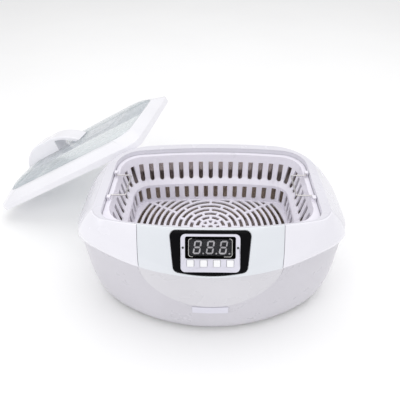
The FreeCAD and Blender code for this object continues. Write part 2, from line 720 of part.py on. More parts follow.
def make_digits():
    """The display module behind the window, and the segments on its face."""
    face = S.frame_proud - 0.2 - S.window_thickness - 0.3
    module = new_body("digit_display")
    module.Placement = panel_place(0, WINDOW_UP, 0.4 - S.board_depth)
    module_up = face - 0.4 - (0.4 - S.board_depth)
    pad(module, rounded_sketch(module, "window_length - 2 * window_ledge - 1",
                               "window_width - 2 * window_ledge - 1", "1"), f"{module_up}")
    lamps = []
    for index in range(3):
        shift = (index - 1) * S.digit_pitch
        for x, y, wide, high in digit_segments():
            lamps.append(segment_face(x, y, wide - 0.4, high - 0.4, shift).extrude(Vector(0, 0, 0.4)))
        point_x = shift + S.digit_pitch / 2 - 0.6
        lamps.append(Part.makeCylinder(0.8, 0.4, Vector(point_x, 0.8 - S.digit_height / 2, 0)))
    shaped("digit_segments", Part.makeCompound(lamps), panel_place(0, WINDOW_UP, face - 0.4))


def make_board():
    board = new_body("control_board")
    thickness = S.board_thickness
    board.Placement = panel_place(0, 0, 0.4 - S.board_depth - thickness)
    pad(board, rounded_sketch(board, "frame_length + 12", "frame_width - 3.5", "2"), "board_thickness")
    lights = []
    for x in led_xs():
        light = cylinder("led_radius", f"{S.frame_proud + 0.2 - (0.4 - S.board_depth)}")
        light.Placement = panel_place(x, WINDOW_UP, 0.4 - S.board_depth)
        lights.append(light)
    node("indicator_leds", group(lights))
    switches = []
    top = S.frame_proud + 1.0 - S.button_length - S.button_travel - 0.3
    for x in button_xs():
        case = box("6", "6", f"{top - (0.4 - S.board_depth)}")
        case.Placement = Placement(on_panel(x - 3, BUTTONS_UP - 3, 0.4 - S.board_depth), PANEL_TURN)
        switches.append(case)
    node("tact_switches", group(switches))
    posts = []
    cover = nodes["top_cover"].Shape
    for side in (-1, 1):
        for end in (-1, 1):
            post = Part.makeCylinder(2.4, S.board_depth - 5.0)
            post.Placement = panel_place(side * (S.frame_length / 2 + 4), end * 14.0, 0.4 - S.board_depth)
            posts.append(max(post.cut(cover).Solids, key=lambda solid: solid.Volume))
    shaped("board_posts", Part.makeCompound(posts))


# ---------------------------------------------------------------- base electronics, inlet and fan

def make_generator():
    floor = S.foot_height + S.plate_thickness
    board_z = floor + 5.0
    middle = S.fan_size / 2 + 4.0 + 17.0
    width = "transducer_spacing - 2 * piezo_radius - 16"
    board = new_body("generator_board", y=middle, z=board_z)
    pad(board, rounded_sketch(board, width, "34", "2"), "board_thickness")
    half_x = value(width) / 2
    standoffs = [cylinder("2.5", "5", side * (half_x - 4), middle + y, floor)
                 for side in (-1, 1) for y in (-13, 6)]
    node("board_standoffs", group(standoffs))
    top = board_z + S.board_thickness
    fins = [box("26", "2", "14", 15 - half_x, middle - 9.0 + 5.0 * index, top + 2.0) for index in range(4)]
    foot = box("26", "17", "2", 15 - half_x, middle - 1.5, top)
    node("heatsink", fused(fins + [foot]))
    core = box("18", "16", "14", half_x - 12, middle + 8.0, top)
    winding = cylinder("6", "18", half_x - 12, middle + 8.0, top)
    node("transformer", fused([core, winding]))
    cans = [cylinder("4", "14", half_x - 16 + 10 * index, middle - 9.0, top) for index in range(2)]
    node("capacitors", group(cans))


def make_inlet():
    """IEC socket body in the rear surround, with its three pins."""
    face_y = inlet_face()
    inlet = new_body("mains_inlet", S.inlet_x, face_y - S.inlet_depth, S.inlet_z,
                     Rotation(Vector(1, 0, 0), -90))
    pad(inlet, rounded_sketch(inlet, "inlet_width", "inlet_height", "2"), "inlet_depth")
    socket = rounded_sketch(inlet, "inlet_width - 3", "inlet_height - 4", "3", "inlet_depth")
    pocket(inlet, socket, "inlet_depth - 3")
    pins = []
    inward = Rotation(Vector(1, 0, 0), -90)
    back = face_y - S.inlet_depth
    for x, z in ((-7, -2), (0, 2), (7, -2)):
        pins.append(box("2", "4", "inlet_depth - 4", S.inlet_x + x, back + 3, S.inlet_z + z, inward))
        pins.append(box("1", "5", "7", S.inlet_x + x, back - 7, S.inlet_z + z, inward))
    node("inlet_pins", group(pins))


def make_fan():
    """Cooling fan on the base plate, over its grille."""
    floor = S.foot_height + S.plate_thickness
    half = S.fan_size / 2
    frame = new_body("fan_frame", z=floor)
    pad(frame, rounded_sketch(frame, "fan_size", "fan_size", "3"), "fan_depth")
    bore = circle_sketch(frame, "fan_size / 2 - 2", "fan_depth")
    pocket(frame, bore, "fan_depth - 1.5")
    for sx in (-1, 1):
        for sy in (-1, 1):
            vent = rounded_sketch(frame, "fan_size / 2 - 10", "fan_size / 2 - 10", "4", "fan_depth",
                                  sx * (half / 2 - 0.5), sy * (half / 2 - 0.5))
            pocket(frame, vent, "fan_depth + 1")
    shaft = cylinder("1.5", "9", 0, 0, floor + 1.5)
    coil = cylinder("8", "2.5", 0, 0, floor + 1.5)
    node("fan_motor", fused([shaft, coil]))
    hub_z = floor + 1.5 + 2.5 + 0.4
    hub = Part.makeCylinder(10, 8.0, Vector(0, 0, hub_z))
    hub = hub.cut(Part.makeCylinder(1.55, 6.4, Vector(0, 0, hub_z)))
    rotor = hub
    tip = half - 2 - S.fan_clearance
    for index in range(7):
        blade = Part.makeBox(tip - 9, 1.4, 9.0, Vector(9, -0.7, -4.5))
        blade.rotate(Vector(), Vector(1, 0, 0), 48)
        blade.translate(Vector(0, 0, hub_z + 4.0))
        blade.rotate(Vector(), UP, 360 / 7 * index)
        rotor = rotor.fuse(blade)
    limit = Part.makeCylinder(tip, 7.6, Vector(0, 0, hub_z + 0.2)).fuse(hub)
    shaped("fan_rotor", rotor.common(limit).removeSplitter())


# ---------------------------------------------------------------- basket and bails

def basket_levels(inset):
    """Height, distance in from the tank's wall and corner radius down the two-tier wall."""
    top = tank_flange_top()
    ledge_out = S.upper_draft
    ledge_in = ledge_out + S.ledge_width
    steps = [(top + 0.3, 0.0), (top - S.upper_wall_depth, ledge_out),
             (top - S.upper_wall_depth - S.ledge_drop, ledge_in),
             (top - S.basket_depth, ledge_in + S.lower_draft)]
    gap = S.basket_clearance
    return [(z, gap + away + inset, S.tank_corner - gap - away / 2 - inset) for z, away in steps]


def basket_solid(inset, floor_rise, top_rise):
    levels = basket_levels(inset)
    levels[-1] = (levels[-1][0] + floor_rise, *levels[-1][1:])
    levels[0] = (levels[0][0] + top_rise, *levels[0][1:])
    return Part.makeLoft([liner_outline(away, corner, z) for z, away, corner in levels], True, True)


def slot_tool(bottom, top, reach):
    """A slot with a square top and a round bottom, through a wall that stands across Y."""
    half = S.slot_width / 2
    body = Part.makeBox(S.slot_width, 2 * reach, top - bottom - half, Vector(-half, -reach, bottom + half))
    end = Part.makeCylinder(half, 2 * reach, Vector(0, -reach, bottom + half), Vector(0, 1, 0))
    return body.fuse(end)


def places_around(wire, pitch, shift):
    """Points evenly spaced round a closed outline from the middle of its rear, with their heading."""
    steps = 7200
    ring = wire.discretize(Number=steps + 1)[:-1]
    rear = min((i for i in range(steps) if ring[i].y > 0), key=lambda i: abs(ring[i].x))
    count = round(wire.Length / pitch)
    for index in range(count):
        here = (rear + round((index + shift) * steps / count)) % steps
        along = ring[(here + 1) % steps] - ring[here - 1]
        yield ring[here], math.degrees(math.atan2(along.y, along.x))


def basket_slots():
    """Slots all round: the upper ones start in the middle of a wall, the lower ones beside it."""
    top = tank_flange_top()
    ledge = top - S.upper_wall_depth - S.ledge_drop
    upper = (top - S.upper_wall_depth - 4.0, top - 8.0, S.upper_draft / 2, 0.0)
    lower = (top - S.basket_depth + 5.0, ledge - 4.0, S.upper_draft + S.ledge_width, 0.5)
    tools = []
    for bottom, high, away, shift in (upper, lower):
        path = liner_outline(S.basket_clearance + away, S.tank_corner - S.basket_clearance - away / 2)
        for point, heading in places_around(path, S.slot_pitch, shift):
            tool = slot_tool(bottom, high, 9.0)
            tool.rotate(Vector(), UP, heading)
            tool.translate(Vector(point.x, point.y, 0))
            tools.append(tool)
    return tools


def floor_slots():
    """Concentric ring slots in the basket's floor, broken by spokes."""
    bottom = tank_flange_top() - S.basket_depth - 5.0
    _, away, corner = basket_levels(S.basket_wall + 1.5)[-1]
    half_x = S.opening_length / 2 - S.tank_inset - away
    region = prism(liner_outline(away, corner), bottom, bottom + 20.0)
    tools = [Part.makeCylinder(3.0, 20.0, Vector(0, 0, bottom))]
    rings = int((half_x - 2.0) // S.ring_pitch)
    for index in range(1, rings + 1):
        radius = (index + 0.2) * S.ring_pitch
        ring = Part.makeCylinder(radius + S.ring_slot / 2, 20.0, Vector(0, 0, bottom))
        ring = ring.cut(Part.makeCylinder(radius - S.ring_slot / 2, 20.0, Vector(0, 0, bottom)))
        turn = 30 if radius > 0.55 * half_x else 45
        start = 0 if radius > 0.55 * half_x else 22.5 * (index % 2)
        spokes = []
        for step in range(int(180 / turn)):
            spoke = Part.makeBox(4 * half_x, S.spoke_width, 30.0,
                                 Vector(-2 * half_x, -S.spoke_width / 2, bottom - 5.0))
            spoke.rotate(Vector(), UP, start + step * turn)
            spokes.append(spoke)
        ring = ring.cut(Part.makeCompound(spokes)).common(region)
        tools.extend(solid for solid in ring.Solids if solid.Volume > 20.0 * 12.0)
    return tools


def hinge_x():
    return S.opening_length / 2 - S.flange_gap - S.ear_half - 0.3


def hinge_z():
    return tank_flange_top() + 0.3 + S.basket_wall + 2.6


def make_basket():
    top = tank_flange_top()
    wall = S.basket_wall
    shell = basket_solid(0.0, 0.0, 0.0)
    flange = prism(opening_outline(-S.flange_gap), top + 0.3, top + 0.3 + wall)
    shell = shell.fuse(flange).cut(basket_solid(wall, wall, wall + 5.0))
    shell = shell.cut(Part.makeCompound(basket_slots()))
    shell = shell.cut(Part.makeCompound(floor_slots()))
    ears = []
    for side in (-1, 1):
        for end in (-1, 1):
            y = S.bail_shift + end * (S.bail_span / 2 + 2.5)
            ear = block(-S.ear_half, S.ear_half, -2.5, 2.5, 0, 4.9)
            ear.translate(Vector(side * hinge_x(), y, top + 0.3 + wall))
            ears.append(ear)
    shell = shell.fuse(ears)
    bore = Part.makeCylinder(S.bail_wire / 2 + S.bail_fit, 80.0,
                             Vector(0, S.bail_shift - 40.0, 0), Vector(0, 1, 0))
    for side in (-1, 1):
        hole = bore.copy()
        hole.translate(Vector(side * hinge_x(), 0, hinge_z()))
        shell = shell.cut(hole)
    shaped("basket", shell.removeSplitter())


def make_bail(label, side):
    """A wire loop folded inwards: its two ends lie in the ears, along the hinge axis."""
    span, bend, spread = S.bail_span / 2, 2.6, 2.0
    z, radius = hinge_z(), S.bail_wire / 2
    pivot_x, bar_x = side * hinge_x(), side * (hinge_x() - S.bail_reach)
    share = bend * (1 - math.sqrt(0.5))
    edges, bar_ends = [], []
    for end in (-1, 1):
        y = S.bail_shift + end * span
        tail = Vector(pivot_x, y + end * 4.6, z)
        start = Vector(pivot_x, y + end * (bend - spread), z)
        arm_start = Vector(pivot_x - side * bend, y - end * spread, z)
        arm_end = Vector(bar_x + side * bend, arm_start.y, z)
        bar = Vector(bar_x, arm_end.y - end * bend, z)
        first = Vector(pivot_x - side * share, arm_start.y + end * share, z)
        second = Vector(bar_x + side * share, arm_end.y - end * share, z)
        edges += [Part.LineSegment(tail, start).toShape(), arc(start, first, arm_start),
                  Part.LineSegment(arm_start, arm_end).toShape(), arc(arm_end, second, bar)]
        bar_ends.append(bar)
    edges.append(Part.LineSegment(*bar_ends).toShape())
    path = Part.Wire(Part.__sortEdges__(edges))
    begin = Vector(pivot_x, S.bail_shift - span - 4.6, z)
    profile = Part.Wire([Part.Circle(begin, Vector(0, 1, 0), radius).toShape()])
    shaped(label, path.makePipeShell([profile], True, False))


# ---------------------------------------------------------------- lid

def leaning(rest_z):
    """The lid held at a height over the rim's rear left, its far left corner on the table."""
    corner = Vector(S.lid_corner - S.lid_length / 2, S.lid_width / 2 - S.lid_corner, -S.lid_depth)
    held = Vector(S.lid_length / 2, -S.lid_width / 2, 0)
    rest = Vector(S.lid_rest_in - S.rim_width / 2, S.rim_rear - S.lid_rest_back, rest_z)
    steep, flat = 60.0, 10.0
    for _ in range(40):
        lean = (steep + flat) / 2
        rotation = Rotation(S.lid_turn, -lean, S.lid_roll)
        centre = rest - rotation.multVec(held)
        down = rotation.inverted().multVec(-UP)
        low = corner + Vector(down.x, down.y, 0).normalize() * S.lid_corner
        if (centre + rotation.multVec(low)).z > S.table_gap:
            flat = lean
        else:
            steep = lean
    return Placement(centre, rotation)


def lid_placement():
    """The lid lowered until the edge of its skirt is just over the rim."""
    edge = []
    for inset in (0.0, S.lid_wall):
        ring = rounded_wire(S.lid_length / 2 - inset, S.lid_width / 2 - inset,
                            S.lid_corner - inset, -S.lid_depth)
        edge += [point for point in ring.discretize(Distance=1.5)
                 if point.x > S.lid_length / 4 and point.y < 0]
    rim = nodes["top_cover"].Shape
    low, high = S.body_height - 30.0, S.body_height + 40.0
    while high - low > 0.02:
        middle = (low + high) / 2
        place = leaning(middle)
        if any(rim.isInside(place.multVec(point), 0.001, True) for point in edge):
            low = middle
        else:
            high = middle
    return leaning(high + S.rest_gap)


def lid_shape(inset, below=0.0):
    """The lid's frame as a solid: an upright skirt, then a slope up to the window."""
    wide = (S.lid_length / 2 - inset, S.lid_width / 2 - inset, S.lid_corner - inset)
    narrow = (S.lid_window_length / 2 + 3.0, S.lid_window_width / 2 + 3.0, S.lid_window_corner + 3.0)
    crease = -inset / 2
    skirt = prism(rounded_wire(*wide), -S.lid_depth - below, crease)
    slope = Part.makeLoft([rounded_wire(*wide, crease), rounded_wire(*narrow, S.lid_slope_rise - inset)],
                          True, True)
    return skirt.fuse(slope).removeSplitter()


def make_lid_frame(place):
    outside = lid_shape(0.0)
    crease = [edge for edge in outside.Edges
              if abs(edge.BoundBox.ZMin) < 0.01 and abs(edge.BoundBox.ZMax) < 0.01]
    frame = outside.makeFillet(S.lid_edge_round, crease).cut(lid_shape(S.lid_wall, 1.0))
    top = S.lid_slope_rise
    half_x, half_y, corner = S.lid_window_length / 2, S.lid_window_width / 2, S.lid_window_corner
    hole = rounded_wire(half_x - 4.0, half_y - 4.0, corner - 4.0)
    seat = rounded_wire(half_x + S.window_fit, half_y + S.window_fit, corner)
    frame = frame.cut(prism(hole, top - 10.0, top + 5.0)).cut(prism(seat, top - 1.2, top + 5.0))
    shaped("lid_frame", frame, place)


def window_dome(inset, bottom):
    """The bulged clear panel, as a pillow-shaped solid shrunk by inset."""
    half_x, half_y = S.lid_window_length / 2 - inset, S.lid_window_width / 2 - inset
    rise = S.lid_window_rise - inset
    wires = []
    for share in (0.0, 0.25, 0.5, 0.75, 0.9, 1.0):
        away = 34.0 * (1 - math.sqrt(1 - share ** 2)) + 6.0 * share
        corner = (S.lid_window_corner - inset) * (1 - 0.4 * share)
        wires.append(rounded_wire(half_x - away, half_y - away, corner, bottom + (rise - bottom) * share))
    return Part.makeLoft(wires, True, False)


def make_lid_window(place):
    """The clear dome, with a round finger dish pressed into it under the grip."""
    glass = window_dome(0.0, -1.1).cut(window_dome(S.lid_glass, -2.0))
    radius, depth, crown = S.dish_radius, S.dish_depth, S.lid_window_rise
    glass = glass.cut(Part.makeCylinder(radius, 30, Vector(S.dish_x, 0, -5)))
    ball = (radius ** 2 + depth ** 2) / (2 * depth)
    centre = Vector(S.dish_x, 0, crown - depth + ball)
    bowl = Part.makeSphere(ball + S.lid_glass, centre).cut(Part.makeSphere(ball, centre))
    dish = bowl.common(Part.makeCylinder(radius + 0.6, 60, Vector(S.dish_x, 0, crown - 60)))
    shaped("lid_window", glass.fuse(dish).removeSplitter(), place)


def make_lid_handle(place):
    """A humped grip along the lid: solid at its left, then a thin roof over the finger dish."""
    left, wall, right = -S.handle_left, -S.handle_solid_end, S.handle_right
    top, base = S.handle_height, S.lid_window_rise / 2
    apex = (left + wall) / 2 + 20.0
    over = arc(Vector(apex, 0, top), Vector((apex + right) / 2 + 6, 0, top * 0.84), Vector(right, 0, base))
    centre, radius = over.Curve.Center, over.Curve.Radius - S.handle_roof

    def under(x):
        return Vector(x, 0, centre.z + math.sqrt(radius ** 2 - (x - centre.x) ** 2))

    foot = Vector(centre.x + math.sqrt(radius ** 2 - (base - centre.z) ** 2), 0, base)
    inner_foot = Vector(wall - 5, 0, base)
    profile = [
        arc(Vector(left, 0, base), Vector((2 * left + apex) / 3, 0, top * 0.80), Vector(apex, 0, top)),
        over,
        Part.LineSegment(Vector(right, 0, base), foot).toShape(),
        arc(foot, under((foot.x + wall) / 2), under(wall)),
        Part.LineSegment(under(wall), inner_foot).toShape(),
        Part.LineSegment(inner_foot, Vector(left, 0, base)).toShape(),
    ]
    grip = Part.Face(Part.Wire(profile)).extrude(Vector(0, S.handle_width, 0))
    grip.translate(Vector(0, -S.handle_width / 2, 0))
    crest = [edge for edge in grip.Edges if edge.BoundBox.ZMax > top - 0.5 and edge.BoundBox.YLength < 0.1]
    grip = grip.makeFillet(S.handle_round, crest)
    shaped("lid_handle", grip.cut(window_dome(-0.15, -1.1)), place)


# ---------------------------------------------------------------- build and write

def make_all():
    make_base_shell()
    make_base()
    make_top_cover()
    make_visor()
    make_bezel()
    make_chin()
    make_nameplate()
    make_tank()
    make_gasket()
    make_transducers()
    make_heater()
    make_control_frame()
    make_window()
    make_buttons()
    make_digits()
    make_board()
    make_generator()
    make_inlet()
    make_fan()
    make_basket()
    make_bail("bail_left", -1)
    make_bail("bail_right", 1)
    place = lid_placement()
    make_lid_frame(place)
    ledge = place.multiply(Placement(Vector(0, 0, S.lid_slope_rise), Rotation()))
    make_lid_window(ledge)
    make_lid_handle(ledge)


def check_document():
    for item in doc.Objects:
        bad = {"Invalid", "Error"} & set(item.State)
        if bad:
            raise RuntimeError(f"{item.Label} is {', '.join(bad)}")
    for feature in pockets:
        if feature.Shape.Volume > feature.BaseFeature.Shape.Volume - 1e-6:
            raise RuntimeError(f"{feature.Label} cuts nothing")
    for label, item in nodes.items():
        if item.Shape.isNull() or not item.Shape.isValid() or not item.Shape.Solids:
            raise RuntimeError(f"{label} has no valid solid")


make_all()
doc.recompute()
check_document()
os.makedirs("parts", exist_ok=True)
for label, item in nodes.items():
    item.Shape.exportStep(f"parts/{label}.step")
    print(f"{label}: {len(item.Shape.Solids)} solid(s), {item.Shape.Volume:.0f} mm3")
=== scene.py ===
import json
import math

import bmesh
import bpy
from mathutils import Matrix, Vector


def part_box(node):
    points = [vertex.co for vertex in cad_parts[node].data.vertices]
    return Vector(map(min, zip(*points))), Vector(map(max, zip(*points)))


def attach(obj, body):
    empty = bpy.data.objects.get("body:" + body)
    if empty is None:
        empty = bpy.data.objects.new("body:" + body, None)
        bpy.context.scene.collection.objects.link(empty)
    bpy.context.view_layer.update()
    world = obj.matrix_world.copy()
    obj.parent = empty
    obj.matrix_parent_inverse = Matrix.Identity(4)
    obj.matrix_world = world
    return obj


# Looks of a desktop ultrasonic cleaner: moulded plastic shells, a clear lid, a slotted basket in a
# stainless tank, and a small control panel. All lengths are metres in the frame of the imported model.

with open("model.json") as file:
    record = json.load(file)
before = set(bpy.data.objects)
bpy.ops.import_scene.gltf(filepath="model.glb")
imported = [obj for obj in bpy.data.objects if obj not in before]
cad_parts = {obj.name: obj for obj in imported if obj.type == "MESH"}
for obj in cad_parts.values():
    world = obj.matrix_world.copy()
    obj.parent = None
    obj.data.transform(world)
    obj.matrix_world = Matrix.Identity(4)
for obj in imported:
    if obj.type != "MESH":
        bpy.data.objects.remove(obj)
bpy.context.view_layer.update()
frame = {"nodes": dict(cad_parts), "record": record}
NODES = frame["nodes"]
MM = 0.001


# ---------------------------------------------------------------- materials

class Nodes:
    """A material's node tree, with short ways to add what the finishes here share."""

    def __init__(self, name):
        self.material = bpy.data.materials.new(name)
        self.material.use_nodes = True
        self.tree = self.material.node_tree
        self.shader = self.tree.nodes["Principled BSDF"]
        self.place = self.add("ShaderNodeTexCoord").outputs["Object"]

    def add(self, kind, **settings):
        made = self.tree.nodes.new(kind)
        for name, setting in settings.items():
            setattr(made, name, setting)
        return made

    def link(self, output, socket):
        self.tree.links.new(output, socket)

    def set(self, **values):
        for name, number in values.items():
            self.shader.inputs[name.replace("_", " ")].default_value = number

    def stretched(self, scale):
        mapping = self.add("ShaderNodeMapping")
        mapping.inputs["Scale"].default_value = scale
        self.link(self.place, mapping.inputs["Vector"])
        return mapping.outputs["Vector"]

    def noise(self, scale, detail=3.0, rough=0.5, vector=None):
        made = self.add("ShaderNodeTexNoise")
        made.inputs["Scale"].default_value = scale
        made.inputs["Detail"].default_value = detail
        made.inputs["Roughness"].default_value = rough
        self.link(vector or self.place, made.inputs["Vector"])
        return made.outputs["Fac"]

    def spread(self, output, low, high, start=0.3, end=0.7):
        made = self.add("ShaderNodeMapRange")
        for name, number in (("From Min", start), ("From Max", end), ("To Min", low), ("To Max", high)):
            made.inputs[name].default_value = number
        self.link(output, made.inputs["Value"])
        return made.outputs["Result"]

    def blend(self, output, first, second, start=0.35, end=0.65):
        ramp = self.add("ShaderNodeValToRGB")
        ramp.color_ramp.elements[0].position = start
        ramp.color_ramp.elements[1].position = end
        ramp.color_ramp.elements[0].color = (*first, 1.0)
        ramp.color_ramp.elements[1].color = (*second, 1.0)
        self.link(output, ramp.inputs["Fac"])
        return ramp.outputs["Color"]

    def bump(self, height, strength, distance, below=None):
        made = self.add("ShaderNodeBump")
        made.inputs["Strength"].default_value = strength
        made.inputs["Distance"].default_value = distance
        self.link(height, made.inputs["Height"])
        if below:
            self.link(below, made.inputs["Normal"])
        self.link(made.outputs["Normal"], self.shader.inputs["Normal"])
        return made.outputs["Normal"]


# Scales of the finishes' noise, in waves a metre, and the heights of their bumps.
CLOUD_SCALE, GLOSS_SCALE, FLOW_SCALE = 9.0, 35.0, 25.0
FLOW_HEIGHT, GRAIN_HEIGHT = 0.12 * MM, 0.02 * MM
DRAWN_SCALE, STAIN_SCALE, DRAWN_HEIGHT = 220.0, 14.0, 0.05 * MM
SPECK_HEIGHT = 0.08 * MM
HAZE_SCALE, RIPPLE_SCALE, RIPPLE_HEIGHT = 30.0, 40.0, 0.2 * MM
SMOKE_SCALE = 80.0

FLOW_STRENGTH = 0.06   # how strongly the slow bumps turn the light
CLEAR_ALPHA = 0.40     # how opaque the lid's window is
SMOKE_IOR = 1.12       # sets how much the display's window mirrors


def shade(colour, factor):
    return tuple(min(1.0, part * factor) for part in colour)


def moulded(name, colour, roughness, coat=0.0, grain=900.0, grain_depth=0.05, vary=0.03, shine=0.5):
    """Moulded plastic: faint flow clouding, uneven gloss and the fine texture of the mould."""
    made = Nodes(name)
    cloud = made.noise(CLOUD_SCALE, 4.0)
    made.link(made.blend(cloud, shade(colour, 1 - vary), shade(colour, 1 + vary)),
              made.shader.inputs["Base Color"])
    made.link(made.spread(made.noise(GLOSS_SCALE, 5.0), roughness * 0.86, roughness * 1.16),
              made.shader.inputs["Roughness"])
    flow = made.bump(made.noise(FLOW_SCALE, 2.0), FLOW_STRENGTH, FLOW_HEIGHT)
    made.bump(made.noise(grain, 2.0), grain_depth, GRAIN_HEIGHT, flow)
    made.set(IOR=1.49, Coat_Weight=coat, Coat_Roughness=0.06, Specular_IOR_Level=shine)
    return made.material


def metal(name, colour, roughness, stretch, depth=0.25, tint=0.08):
    """Metal with drawn or turned lines along the axis where stretch is small."""
    made = Nodes(name)
    lines = made.noise(DRAWN_SCALE, 6.0, 0.65, made.stretched(stretch))
    stain = made.noise(STAIN_SCALE, 4.0)
    made.link(made.blend(stain, shade(colour, 1 - tint), shade(colour, 1 + tint)),
              made.shader.inputs["Base Color"])
    made.link(made.spread(lines, roughness * 0.75, roughness * 1.35), made.shader.inputs["Roughness"])
    made.bump(lines, depth, DRAWN_HEIGHT)
    made.set(Metallic=1.0)
    return made.material


def speckled(name, colour, other, scale, roughness, depth=0.3):
    """Rubber, ceramic, cast or printed board stock: a fine two-tone grain."""
    made = Nodes(name)
    grain = made.noise(scale, 6.0, 0.7)
    made.link(made.blend(grain, colour, other, 0.4, 0.6), made.shader.inputs["Base Color"])
    made.link(made.spread(grain, roughness * 0.9, min(1.0, roughness * 1.1)),
              made.shader.inputs["Roughness"])
    made.bump(grain, depth, SPECK_HEIGHT)
    return made.material


def clear(name, colour, roughness=0.03):
    """Clear moulded plastic: light passes through a thin wall, and faint flow lines and dust show."""
    made = Nodes(name)
    haze = made.noise(HAZE_SCALE, 5.0)
    made.link(made.blend(haze, shade(colour, 0.97), colour), made.shader.inputs["Base Color"])
    made.link(made.spread(haze, roughness, roughness * 3.0), made.shader.inputs["Roughness"])
    made.bump(made.noise(RIPPLE_SCALE, 2.0), FLOW_STRENGTH, RIPPLE_HEIGHT)
    made.set(IOR=1.5, Alpha=CLEAR_ALPHA, Coat_Weight=0.6, Coat_Roughness=0.03)
    return made.material


# Directions of the panel's face: straight out of it, and up along it.
PANEL_OUT = Vector((0.0, -0.8262, 0.5634))
PANEL_UP = Vector((0.0, 0.5634, 0.8262))
WINDOW_CENTRE = sum((Vector(corner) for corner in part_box("display_window")), Vector()) / 2
CLEAR_HALF = (23.4 * MM, 9.0 * MM)
ALONG_X = Vector((1, 0, 0))


def off_centre(made, direction, half):
    """1 where a point of the window lies outside its clear part along a direction, and 0 inside."""
    moved = made.add("ShaderNodeVectorMath", operation="SUBTRACT")
    made.link(made.place, moved.inputs[0])
    moved.inputs[1].default_value = WINDOW_CENTRE
    along = made.add("ShaderNodeVectorMath", operation="DOT_PRODUCT")
    made.link(moved.outputs["Vector"], along.inputs[0])
    along.inputs[1].default_value = direction
    size = made.add("ShaderNodeMath", operation="ABSOLUTE")
    made.link(along.outputs["Value"], size.inputs[0])
    beyond = made.add("ShaderNodeMath", operation="GREATER_THAN")
    made.link(size.outputs["Value"], beyond.inputs[0])
    beyond.inputs[1].default_value = half
    return beyond.outputs["Value"]


def smoked(name):
    """A smoked polished window with a black border: light passes only through its middle part."""
    made = Nodes(name)
    haze = made.noise(SMOKE_SCALE, 4.0)
    border = made.add("ShaderNodeMath", operation="MAXIMUM")
    for index, (direction, half) in enumerate(zip((ALONG_X, PANEL_UP), CLEAR_HALF)):
        made.link(off_centre(made, direction, half), border.inputs[index])
    tint = made.add("ShaderNodeMixRGB")
    made.link(border.outputs["Value"], tint.inputs["Fac"])
    made.link(made.blend(haze, (0.84, 0.84, 0.86), (0.90, 0.90, 0.92)), tint.inputs["Color1"])
    tint.inputs["Color2"].default_value = (0.0, 0.0, 0.0, 1.0)
    through = made.add("ShaderNodeBsdfTransparent")
    made.link(tint.outputs["Color"], through.inputs["Color"])
    mirror = made.add("ShaderNodeBsdfGlossy")
    mirror.inputs["Color"].default_value = (1.0, 1.0, 1.0, 1.0)
    made.link(made.spread(haze, 0.03, 0.07), mirror.inputs["Roughness"])
    edge = made.add("ShaderNodeFresnel")
    edge.inputs["IOR"].default_value = SMOKE_IOR
    mixed = made.add("ShaderNodeMixShader")
    made.link(edge.outputs["Fac"], mixed.inputs["Fac"])
    made.link(through.outputs["BSDF"], mixed.inputs[1])
    made.link(mirror.outputs["BSDF"], mixed.inputs[2])
    made.link(mixed.outputs["Shader"], made.tree.nodes["Material Output"].inputs["Surface"])
    return made.material


WHITE = (0.83, 0.82, 0.88)
FINISHES = {
    "housing_white": moulded("housing_white", WHITE, 0.24, coat=0.35),
    "rim_white": moulded("rim_white", (0.72, 0.71, 0.77), 0.26, coat=0.3),
    "housing_lower": moulded("housing_lower", (0.60, 0.585, 0.635), 0.30, coat=0.2),
    "panel_grey": moulded("panel_grey", (0.74, 0.765, 0.81), 0.20, coat=0.6),
    "chin_grey": moulded("chin_grey", (0.66, 0.65, 0.69), 0.28, coat=0.3),
    "bezel_black": moulded("bezel_black", (0.003, 0.003, 0.004), 0.10, vary=0.2, shine=0.07),
    "panel_silver": moulded("panel_silver", (0.70, 0.69, 0.78), 0.34, coat=0.2),
    "window_black": smoked("window_black"),
    "button_white": moulded("button_white", (0.90, 0.90, 0.92), 0.28, coat=0.3),
    "digit_grey": moulded("digit_grey", (0.84, 0.82, 0.80), 0.5),
    "black_plastic": moulded("black_plastic", (0.022, 0.022, 0.024), 0.42, vary=0.15, grain_depth=0.3),
    # Tank steel: its brown tint is a painted reflection, not the steel's own colour.
    "stainless": metal("stainless", (0.52, 0.46, 0.42), 0.26, (1.0, 1.0, 0.06)),
    "screw_steel": metal("screw_steel", (0.55, 0.55, 0.56), 0.32, (1.0, 1.0, 0.4)),
    "copper": metal("copper", (0.72, 0.42, 0.26), 0.35, (1.0, 0.1, 1.0)),
    "aluminium": metal("aluminium", (0.72, 0.73, 0.75), 0.36, (1.0, 1.0, 0.1)),
    "ceramic": speckled("ceramic", (0.50, 0.44, 0.33), (0.60, 0.54, 0.42), 900.0, 0.6),
    "rubber": speckled("rubber", (0.022, 0.022, 0.023), (0.045, 0.045, 0.046), 700.0, 0.75),
    "silicone": speckled("silicone", (0.60, 0.59, 0.57), (0.66, 0.65, 0.63), 500.0, 0.45, 0.1),
    "board_green": speckled("board_green", (0.025, 0.11, 0.05), (0.035, 0.15, 0.07), 300.0, 0.35, 0.1),
    "basket_white": moulded("basket_white", (0.86, 0.835, 0.91), 0.30, coat=0.25),
    "wire_steel": metal("wire_steel", (0.62, 0.60, 0.60), 0.16, (0.2, 1.0, 1.0), 0.1),
    "lid_white": moulded("lid_white", (0.86, 0.855, 0.90), 0.22, coat=0.4),
    "lid_clear": clear("lid_clear", (0.60, 0.66, 0.69)),
    "lens_green": moulded("lens_green", (0.02, 0.03, 0.025), 0.12, coat=1.0, vary=0.2),
}
# The record's slots, and two nodes whose finish differs a little from their slot's.
SLOT_OF = {entry["node"]: entry["material_slot"] for entry in frame["record"]["subparts"]}
SLOT_OF.update(chin_panel="chin_grey", top_cover="rim_white")


def finish_with(thing, slot):
    thing.data.materials.clear()
    thing.data.materials.append(FINISHES[slot])


SMOOTH_ANGLE = math.radians(32)
EDGE_ROUND = 0.35 * MM
EDGE_SEGMENTS = 2
WELD_REACH = 0.002 * MM


